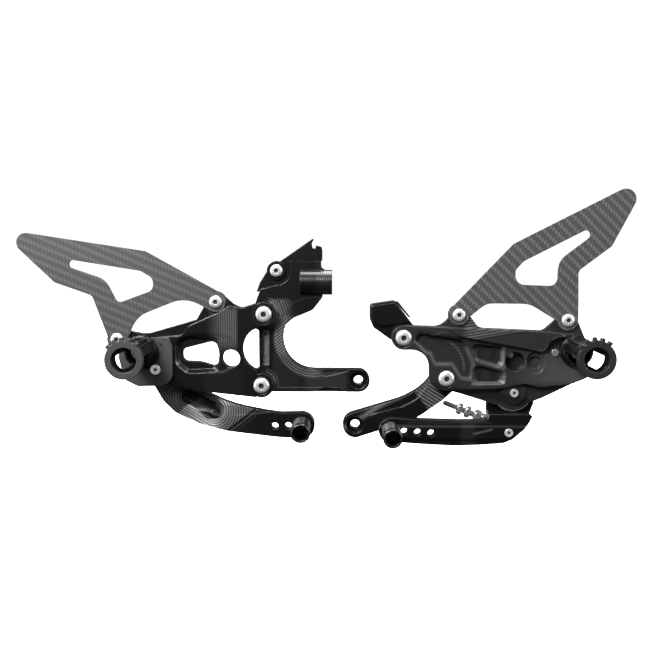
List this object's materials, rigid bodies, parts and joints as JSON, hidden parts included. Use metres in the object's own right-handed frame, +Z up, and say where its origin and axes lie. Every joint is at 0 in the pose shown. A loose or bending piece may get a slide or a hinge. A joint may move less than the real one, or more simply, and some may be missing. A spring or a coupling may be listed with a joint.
{
  "type": "motorcycle rearset pair",
  "caption": "Pair of motorcycle rearsets: milled brackets and peg plates with fixed foot pegs, carbon heel guards, a brake lever and a shift lever with rod.",
  "frame": {"origin": "axis of the brake-side unit's front mounting bore, at the inboard face that lies on the motorcycle's frame", "axes": "+Z up, +X along the motorcycle in the displayed side view, -Y outboard, the way the pegs stick out"},
  "size_m": [0.5729, 0.1097, 0.2387],
  "materials": {
    "black_anodised": "black anodised, milled with fine tool marks",
    "satin_black": "dark grey satin anodised",
    "carbon_sheet": "matte carbon-fibre laminate, 2x2 twill",
    "stainless": "bright turned stainless steel",
    "bright_aluminium": "bright machined aluminium",
    "black_steel": "black oxide steel",
    "bronze": "oiled bronze"
  },
  "bodies": {
    "root": {"brake_frame_bracket": "black_anodised", "brake_upper_bracket": "black_anodised", "brake_upper_bolt": "stainless", "brake_peg_plate": "black_anodised", "brake_mount_plate": "satin_black", "brake_mount_screw": "stainless", "brake_heel_guard": "carbon_sheet", "brake_plate_bolts": "stainless", "brake_guard_bolts": "stainless", "brake_guard_nuts": "stainless", "brake_foot_peg": "black_anodised", "brake_peg_ring": "satin_black", "brake_peg_bolt": "stainless", "brake_pivot_bush": "bronze", "brake_pivot_washer": "stainless", "brake_pivot_nut": "stainless", "shift_frame_bracket": "black_anodised", "shift_peg_plate": "black_anodised", "shift_index_pins": "stainless", "shift_heel_guard": "carbon_sheet", "shift_plate_bolts": "stainless", "shift_guard_bolts": "stainless", "shift_guard_nuts": "stainless", "shift_foot_peg": "black_anodised", "shift_peg_ring": "satin_black", "shift_peg_bolt": "stainless", "shift_peg_nut": "stainless", "shift_pivot_bolt": "stainless", "shift_pivot_bush": "bronze", "shift_pivot_nut": "stainless"},
    "brake_lever_body": {"brake_lever": "black_anodised", "brake_toe_peg": "black_anodised", "brake_toe_bolt": "black_steel"},
    "shift_lever_body": {"shift_lever": "black_anodised", "shift_pivot_disc": "bright_aluminium", "shift_toe_peg": "black_anodised", "shift_toe_bolt": "black_steel", "shift_rod_bolt": "stainless", "shift_rod_spacer": "stainless", "shift_rod_ball": "stainless"},
    "shift_rod_body": {"shift_rod_end": "stainless", "shift_rod": "stainless", "shift_rod_nuts": "stainless"}
  },
  "joints": [
    {"name": "brake_pivot", "type": "hinge", "parent": "root", "child": "brake_lever_body", "pos_m": [-0.2018, -0.009, 0.03], "axis": [0, 1, 0], "range_deg": [0, 15], "stiffness_Nm_per_rad": 6, "springref_deg": -8.59},
    {"name": "shift_pivot", "type": "hinge", "parent": "root", "child": "shift_lever_body", "pos_m": [0.1453, -0.008, -0.01], "axis": [0, 1, 0], "range_deg": [-12, 12], "stiffness_Nm_per_rad": 12},
    {"name": "rod_swivel", "type": "hinge", "parent": "shift_lever_body", "child": "shift_rod_body", "pos_m": [0.1401, 0.004, -0.0468], "axis": [0, 1, 0], "range_deg": [-14, 14]}
  ]
}
